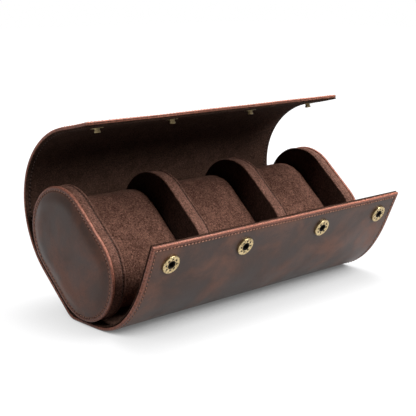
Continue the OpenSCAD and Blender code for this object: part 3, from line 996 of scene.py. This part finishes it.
def to_range(tree, value, low, high, new_low, new_high):
    """Smooth step of a value from one range to another."""
    inputs = dict(enumerate((value, low, high, new_low, new_high)))
    return add(tree, "ShaderNodeMapRange", inputs, interpolation_type="SMOOTHSTEP").outputs["Result"]


def bump(tree, height, distance, strength, normal=None):
    """Normal of a surface with that relief, on top of another relief's."""
    inputs = {"Height": height, "Distance": distance, "Strength": strength}
    if normal:
        inputs["Normal"] = normal
    return add(tree, "ShaderNodeBump", inputs).outputs["Normal"]


def coordinates(tree, name):
    return add(tree, "ShaderNodeTexCoord").outputs[name]


def attribute(tree, name):
    return add(tree, "ShaderNodeAttribute", attribute_name=name).outputs["Fac"]


LEATHER_WRAP = ((0.029, 0.016, 0.012), (0.076, 0.041, 0.031), (0.215, 0.090, 0.055))
# Cap: a lighter, redder copy of the wrap's leather, painted light on the end face that the lamps leave dim
LEATHER_CAP_PAINTED_LIGHT = ((0.042, 0.023, 0.018), (0.098, 0.050, 0.036), (0.250, 0.095, 0.055))
# Burnished edge colours: the bright salmon brown also paints the highlight that the lamps put on the cut
# edges
EDGE_BROWN_AND_HIGHLIGHT = (0.60, 0.22, 0.14)
EDGE_DARK = (0.20, 0.07, 0.045)
SEAM_DARK = (0.010, 0.006, 0.005)


def leather_material(name, shades, space):
    """Waxed pull-up leather in dark, middle and reddish shades, laid by UV or Object coordinates."""
    material, tree, shader = material_base(name)
    vector = coordinates(tree, space)
    cloud = noise_texture(tree, vector, 24, 5, 0.6, 0.3)
    patches = noise_texture(tree, vector, 60, 6, 0.6, 0.4)
    fine = noise_texture(tree, vector, 900, 4, 0.7)
    dark, middle, red = shades
    body = mix(tree, to_range(tree, cloud, 0.42, 0.66, 0, 1), middle, red)
    body = mix(tree, to_range(tree, patches, 0.32, 0.62, 0.5, 0), body, dark)
    body = mix(tree, to_range(tree, fine, 0.3, 0.7, 0.3, 0), body, dark)
    lie = {"Vector": vector, "Rotation": (0, 0, 0.6), "Scale": (30, 500, 30)}
    stretched = add(tree, "ShaderNodeMapping", lie).outputs["Vector"]
    scratches = noise_texture(tree, stretched, 1, 2, 0.5, 0.3)
    body = mix(tree, to_range(tree, scratches, 0.68, 0.76, 0, 0.3), body, red)
    # Burnished edges, brightened so that they also carry a painted highlight
    burnish_and_highlight = mix(tree, to_range(tree, fine, 0.38, 0.66, 0.9, 0), EDGE_BROWN_AND_HIGHLIGHT, EDGE_DARK)
    colour = mix(tree, attribute(tree, "edge"), body, burnish_and_highlight)
    seam = math_node(tree, "MULTIPLY", attribute(tree, "seam"), to_range(tree, fine, 0.3, 0.6, 0.9, 0.5))
    grain = noise_texture(tree, vector, 1500, 3, 0.6)
    feed(tree, shader, {
        "Base Color": mix(tree, seam, colour, SEAM_DARK),
        "Roughness": to_range(tree, patches, 0.3, 0.7, 0.40, 0.52),
        "Specular IOR Level": 0.36,
        "Normal": bump(tree, cloud, 0.0008, 0.35, bump(tree, grain, 0.00008, 0.7)),
    })
    return material


SUEDE_BODY = ((0.115, 0.055, 0.040), (0.21, 0.105, 0.078))
SUEDE_PILLOW = ((0.072, 0.034, 0.024), (0.19, 0.092, 0.066))
# Near-black brown of the painted shade on suede faces that look along the case
PAINTED_SIDE_SHADE = (0.022, 0.014, 0.011)
# Lining: a darker copy of the suede, painted shade for the wrap's shaded inside
SUEDE_LINING_SHADED = ((0.045, 0.024, 0.017), (0.094, 0.050, 0.036))


def suede_material(name, shades, space, painted_side_shade=0.0):
    """Brushed suede: swaths of pile lying two ways, mottled and specked; a side shade share darkens end
    faces as painted shade.
    """
    material, tree, shader = material_base(name)
    vector = coordinates(tree, space)
    dark, light = shades
    swath = noise_texture(tree, vector, 38, 3, 0.5, 1.2)
    mottle = noise_texture(tree, vector, 170, 6, 0.7, 0.9)
    speck = noise_texture(tree, vector, 950, 3, 0.75)
    colour = ramp(tree, mottle, [(0.34, dark), (0.64, light)])
    deep = tuple(c * 0.35 for c in dark)
    pale = tuple(min(1, c * 1.9) for c in light)
    colour = mix(tree, to_range(tree, swath, 0.36, 0.56, 0.45, 0), colour, dark)
    colour = mix(tree, to_range(tree, speck, 0.34, 0.52, 0.8, 0), colour, deep)
    colour = mix(tree, to_range(tree, speck, 0.52, 0.72, 0, 0.7), colour, pale)
    # Painted shade: faces that look along the case, the dividers' and facings' sides, are darkened
    if painted_side_shade:
        normal = add(tree, "ShaderNodeNewGeometry").outputs["Normal"]
        facing = add(tree, "ShaderNodeSeparateXYZ", {0: normal}).outputs["X"]
        painted_shade_share = to_range(tree, math_node(tree, "ABSOLUTE", facing), 0.75, 0.95, 0, painted_side_shade)
        colour = mix(tree, painted_shade_share, colour, PAINTED_SIDE_SHADE)
    seam = math_node(tree, "MULTIPLY", attribute(tree, "seam"), 0.9)
    feed(tree, shader, {
        "Base Color": mix(tree, seam, colour, SEAM_DARK),
        "Roughness": 0.95,
        "Specular IOR Level": 0.03,
        "Sheen Weight": 0.06,
        "Sheen Roughness": 0.4,
        "Sheen Tint": (0.75, 0.55, 0.45),
        "Normal": bump(tree, mottle, 0.0014, 0.5, bump(tree, speck, 0.0006, 1.0)),
    })
    return material


THREAD_OUTSIDE = ((0.26, 0.115, 0.072), (0.62, 0.31, 0.21))
THREAD_INSIDE = ((0.035, 0.016, 0.011), (0.12, 0.058, 0.040))


def thread_material(name, shades):
    """Twisted waxed thread in two shades."""
    material, tree, shader = material_base(name)
    twist = noise_texture(tree, coordinates(tree, "Object"), 1800, 2, 0.5)
    colour = ramp(tree, twist, [(0.35, shades[0]), (0.65, shades[1])])
    feed(tree, shader, {"Base Color": colour, "Roughness": 0.6})
    return material


BRASS_WORN = ((0.74, 0.58, 0.32), (0.23, 0.16, 0.07))
# Studs: a darker copy of the brass, painted shade for the studs under the top flap
BRASS_STUD_SHADED = ((0.46, 0.36, 0.20), (0.13, 0.095, 0.045))
# Near black of the socket dots, hole rims, posts and ring springs: patina, and painted shade in the dimples
# and socket holes
PATINA_AND_SHADE = (0.010, 0.008, 0.006)


def brass_material(name, shades):
    """Brass in a clean and a tarnished shade."""
    material, tree, shader = material_base(name)
    tarnish = noise_texture(tree, coordinates(tree, "Object"), 900, 5, 0.7)
    feed(tree, shader, {
        "Base Color": ramp(tree, tarnish, [(0.36, shades[1]), (0.58, shades[0])]),
        "Roughness": to_range(tree, tarnish, 0.35, 0.65, 0.46, 0.26),
        "Metallic": 1.0,
        "Normal": bump(tree, tarnish, 0.0001, 0.4),
    })
    return material


# Near-black brass for the socket holes' posts and ring springs and the socket dots: patina and painted
# shade
def dark_metal_material():
    material, tree, shader = material_base("patina_and_shade_brass")
    feed(tree, shader, {"Base Color": PATINA_AND_SHADE, "Roughness": 0.6, "Specular IOR Level": 0.2})
    return material


# Stage

AMBIENT = 0.015
BACKDROP_SHINE = 0.2
FLOOR_COLOUR = (0.15, 0.15, 0.153)
# Floor glow: a white backdrop with a painted shadow, weaker near the case and darkened by occlusion where
# the case touches
FLOOR_GLOW = 0.84
FAR_GLOW = 1.0
GLOW_REACH = (0.25, 0.75)
PAINTED_SHADOW_REACH = 0.035
PAINTED_CONTACT_SHADOW = [(0.08, 0.15), (0.25, 0.56), (0.40, 0.80), (1.0, 1.0)]
# name, azimuth, elevation, size, power
LIGHTS = [("top", 50, 72, (0.8, 0.8), 12.5), ("front", 20, 32, (0.5, 0.3), 11),
          ("back", 128, 66, (0.9, 0.9), 20), ("left", -88, 50, (0.5, 0.5), 4.2)]
LIGHT_DISTANCE = 1.3


def floor_glow(tree):
    """Strength of the floor's own light, with painted shadow: full far off, less near the case and least
    where it touches.
    """
    distance = add(tree, "ShaderNodeVectorMath", {0: coordinates(tree, "Object")}, operation="LENGTH")
    level = to_range(tree, distance.outputs["Value"], *GLOW_REACH, FLOOR_GLOW, FAR_GLOW)
    # Painted contact shadow: occlusion by the case darkens the glow where it touches
    open_sky = add(tree, "ShaderNodeAmbientOcclusion", {"Distance": PAINTED_SHADOW_REACH}, samples=16)
    shades = [(place, (shade,) * 3) for place, shade in PAINTED_CONTACT_SHADOW]
    level = math_node(tree, "MULTIPLY", level, ramp(tree, open_sky.outputs["AO"], shades))
    light_path = add(tree, "ShaderNodeLightPath").outputs
    direct = math_node(tree, "MAXIMUM", light_path["Is Camera Ray"], light_path["Is Glossy Ray"])
    return math_node(tree, "MULTIPLY", direct, level)


def make_floor():
    bpy.ops.mesh.primitive_plane_add(size=8, location=(0, 0, -0.0002))
    floor = bpy.context.object
    floor.name = "floor"
    material, tree, shader = material_base("white_floor")
    feed(tree, shader, {"Base Color": FLOOR_COLOUR, "Roughness": 0.9, "Specular IOR Level": 0.1})
    glow = add(tree, "ShaderNodeEmission", {"Color": (1, 1, 1), "Strength": floor_glow(tree)})
    both = add(tree, "ShaderNodeAddShader", {0: shader.outputs[0], 1: glow.outputs[0]})
    feed(tree, tree.nodes["Material Output"], {"Surface": both.outputs[0]})
    floor.data.materials.append(material)


def make_world():
    """White to the camera, dimmer in reflections and faint as a light."""
    world = bpy.data.worlds.new("studio")
    bpy.context.scene.world = world
    world.use_nodes = True
    tree = world.node_tree
    light_path = add(tree, "ShaderNodeLightPath").outputs
    shine = math_node(tree, "MULTIPLY", light_path["Is Glossy Ray"], BACKDROP_SHINE)
    direct = math_node(tree, "MAXIMUM", light_path["Is Camera Ray"], shine)
    strength = math_node(tree, "MAXIMUM", direct, AMBIENT)
    feed(tree, tree.nodes["Background"], {"Color": (1, 1, 1), "Strength": strength})


def direction(azimuth, elevation):
    """Unit vector from the case; azimuth 0 is in front of it, positive towards its right end."""
    a, e = math.radians(azimuth), math.radians(elevation)
    return Vector((math.sin(a) * math.cos(e), -math.cos(a) * math.cos(e), math.sin(e)))


def area_light(name, azimuth, elevation, size, power):
    """Softbox that faces the case."""
    way = direction(azimuth, elevation)
    lamp = bpy.data.lights.new(name, "AREA")
    lamp.shape = "RECTANGLE"
    lamp.size, lamp.size_y = size
    lamp.energy = power
    holder = bpy.data.objects.new(name, lamp)
    bpy.context.scene.collection.objects.link(holder)
    holder.location = Vector((0, 0, 0.06)) + way * LIGHT_DISTANCE
    holder.rotation_euler = way.to_track_quat("Z", "Y").to_euler()


CAMERA_AZIMUTH = -42.91
CAMERA_ELEVATION = 12.55
CAMERA_DISTANCE = 699.65
CAMERA_RISE = 11.36
CAMERA_LENS = 85.83


def make_camera():
    back = direction(CAMERA_AZIMUTH, CAMERA_ELEVATION)
    right = Vector((0, 0, 1)).cross(back).normalized()
    up = back.cross(right)
    camera = bpy.data.objects.new("camera", bpy.data.cameras.new("camera"))
    bpy.context.scene.collection.objects.link(camera)
    camera.data.lens = CAMERA_LENS
    camera.data.sensor_width = 36
    place = (back * CAMERA_DISTANCE + up * CAMERA_RISE + Vector((0, 0, CENTRE_HEIGHT))) * MM
    turn = Matrix((right, up, back)).transposed().to_4x4()
    camera.matrix_world = Matrix.Translation(place) @ turn
    bpy.context.scene.camera = camera


def dress(node, material):
    """Gives its finish to a construction node that shows as it is."""
    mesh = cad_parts[node].data
    mesh.materials.clear()
    mesh.materials.append(material)


# Finishes, pieces and stage

bpy.context.scene.view_settings.view_transform = "Standard"

wrap_leather = leather_material("wrap_leather", LEATHER_WRAP, "UV")
cap_leather = leather_material("cap_leather", LEATHER_CAP_PAINTED_LIGHT, "Object")
lining_suede = suede_material("lining_suede", SUEDE_LINING_SHADED, "UV")
body_suede = suede_material("body_suede", SUEDE_BODY, "Object", painted_side_shade=0.7)
pillow_suede = suede_material("pillow_suede", SUEDE_PILLOW, "Object")
outside_thread = thread_material("waxed_thread", THREAD_OUTSIDE)
inside_thread = thread_material("dark_thread", THREAD_INSIDE)
brass = brass_material("aged_brass", BRASS_WORN)
shaded_stud_brass = brass_material("shaded_stud_brass", BRASS_STUD_SHADED)
patina_and_shade_brass = dark_metal_material()

outside_stitches = stitch_tree("outside_stitches", outside_thread)
inside_stitches = stitch_tree("inside_stitches", inside_thread)
outer_sheet = Layer(-MID, LEATHER - MID, 0.7, 0.6, grooved="low", holes=True)
inner_sheet = Layer(LEATHER - MID, MID, 0.5, 0.45, grooved="high", holes=False)
leather_pieces = make_layer(outer_sheet, "wrap_leather", wrap_leather)
lining_pieces = make_layer(inner_sheet, "wrap_lining", lining_suede)
for zone, outer, inner in zip(ZONES, leather_pieces, lining_pieces):
    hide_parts(f"{zone[0]}_leather")
    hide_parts(f"{zone[0]}_lining")
wrap_stitches(outside_stitches, OUTSIDE, "stitches")
wrap_stitches(inside_stitches, INSIDE, "inner_stitches")
for side, name in ((-1, "left"), (1, "right")):
    make_cap_face(side, name, cap_leather)
    make_gusset(side, name, body_suede)
    stitch_cap(side, name, outside_stitches, inside_stitches)
    make_divider(side, name, body_suede, inside_stitches)
shape = pillow_shape()
for slot, name in ((-1, "left"), (0, "middle"), (1, "right")):
    make_pillow(slot, name, shape, pillow_suede)
make_socket_dots_patina_and_shade(patina_and_shade_brass)
dress("snap_sockets", brass)
dress("snap_studs", shaded_stud_brass)
dress("snap_caps", brass)
dress("snap_ring_springs", patina_and_shade_brass)
dress("snap_socket_posts", patina_and_shade_brass)
dress("base_board", body_suede)

make_floor()
make_world()
for light in LIGHTS:
    area_light(*light)
make_camera()
